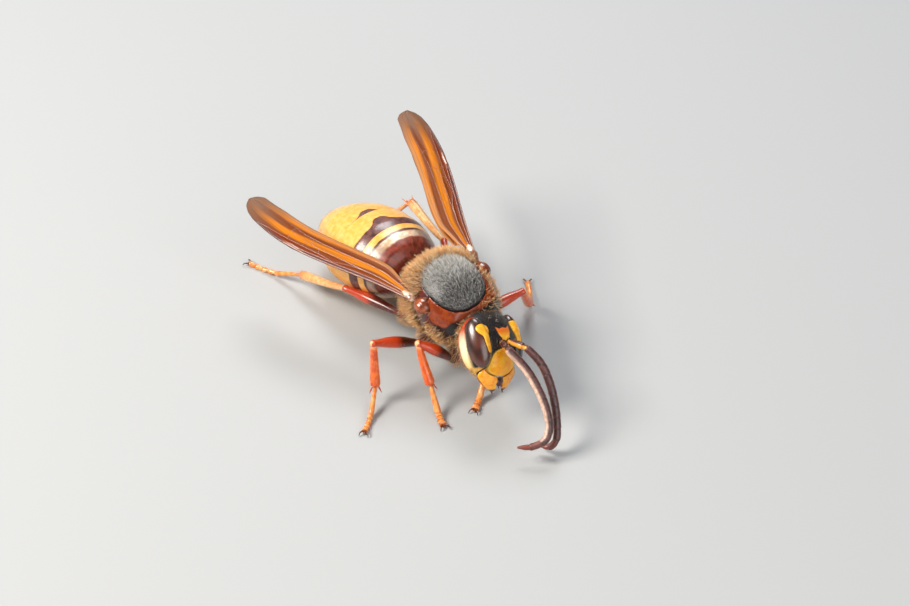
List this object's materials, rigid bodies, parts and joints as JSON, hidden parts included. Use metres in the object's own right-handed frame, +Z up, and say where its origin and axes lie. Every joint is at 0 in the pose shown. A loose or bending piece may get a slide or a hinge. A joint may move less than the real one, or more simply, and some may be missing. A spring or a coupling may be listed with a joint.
{
  "type": "hornet",
  "caption": "Male European hornet at life size, standing still with its wings folded in a V, its head low and its feelers curling down to the floor.",
  "frame": {"origin": "on the floor, under the middle of the hornet's bounding box", "axes": "-Y is the way the hornet faces, +X its left side, +Z up from the floor"},
  "size_m": [0.0234, 0.0354, 0.0114],
  "materials": {
    "black_shell": "satin black horn under short hair",
    "head_shell": "glossy black and red-brown horn with yellow marks",
    "red_shell": "glossy red-brown horn",
    "yellow_shell": "glossy yellow horn",
    "orange_limb": "glossy orange-red horn",
    "eye": "glossy dark brown, finely faceted",
    "wing": "clear amber film with dark veins",
    "feeler": "satin dark purple-brown"
  },
  "bodies": {
    "root": {"clypeus": "yellow_shell", "coxa_front_left": "red_shell", "coxa_front_right": "red_shell", "coxa_hind_left": "red_shell", "coxa_hind_right": "red_shell", "coxa_middle_left": "red_shell", "coxa_middle_right": "red_shell", "eye_left": "eye", "eye_right": "eye", "femur_front_left": "red_shell", "femur_front_right": "red_shell", "femur_hind_left": "red_shell", "femur_hind_right": "red_shell", "femur_middle_left": "red_shell", "femur_middle_right": "red_shell", "flagellum_left": "feeler", "flagellum_right": "feeler", "forewing_left": "wing", "forewing_right": "wing", "gaster_1": "red_shell", "gaster_2": "yellow_shell", "gaster_3": "yellow_shell", "gaster_4": "yellow_shell", "gaster_5": "yellow_shell", "gaster_6": "yellow_shell", "gaster_7": "yellow_shell", "head": "head_shell", "hindwing_left": "wing", "hindwing_right": "wing", "mandible_left": "yellow_shell", "mandible_right": "yellow_shell", "mesoscutum": "black_shell", "mesothorax": "black_shell", "mouthparts": "red_shell", "neck": "black_shell", "pronotum": "red_shell", "propodeum": "black_shell", "scape_left": "red_shell", "scape_right": "red_shell", "scutellum": "red_shell", "tarsus_front_left": "orange_limb", "tarsus_front_right": "orange_limb", "tarsus_hind_left": "orange_limb", "tarsus_hind_right": "orange_limb", "tarsus_middle_left": "orange_limb", "tarsus_middle_right": "orange_limb", "tegula_left": "red_shell", "tegula_right": "red_shell", "tibia_front_left": "orange_limb", "tibia_front_right": "orange_limb", "tibia_hind_left": "orange_limb", "tibia_hind_right": "orange_limb", "tibia_middle_left": "orange_limb", "tibia_middle_right": "orange_limb"}
  },
  "joints": []
}
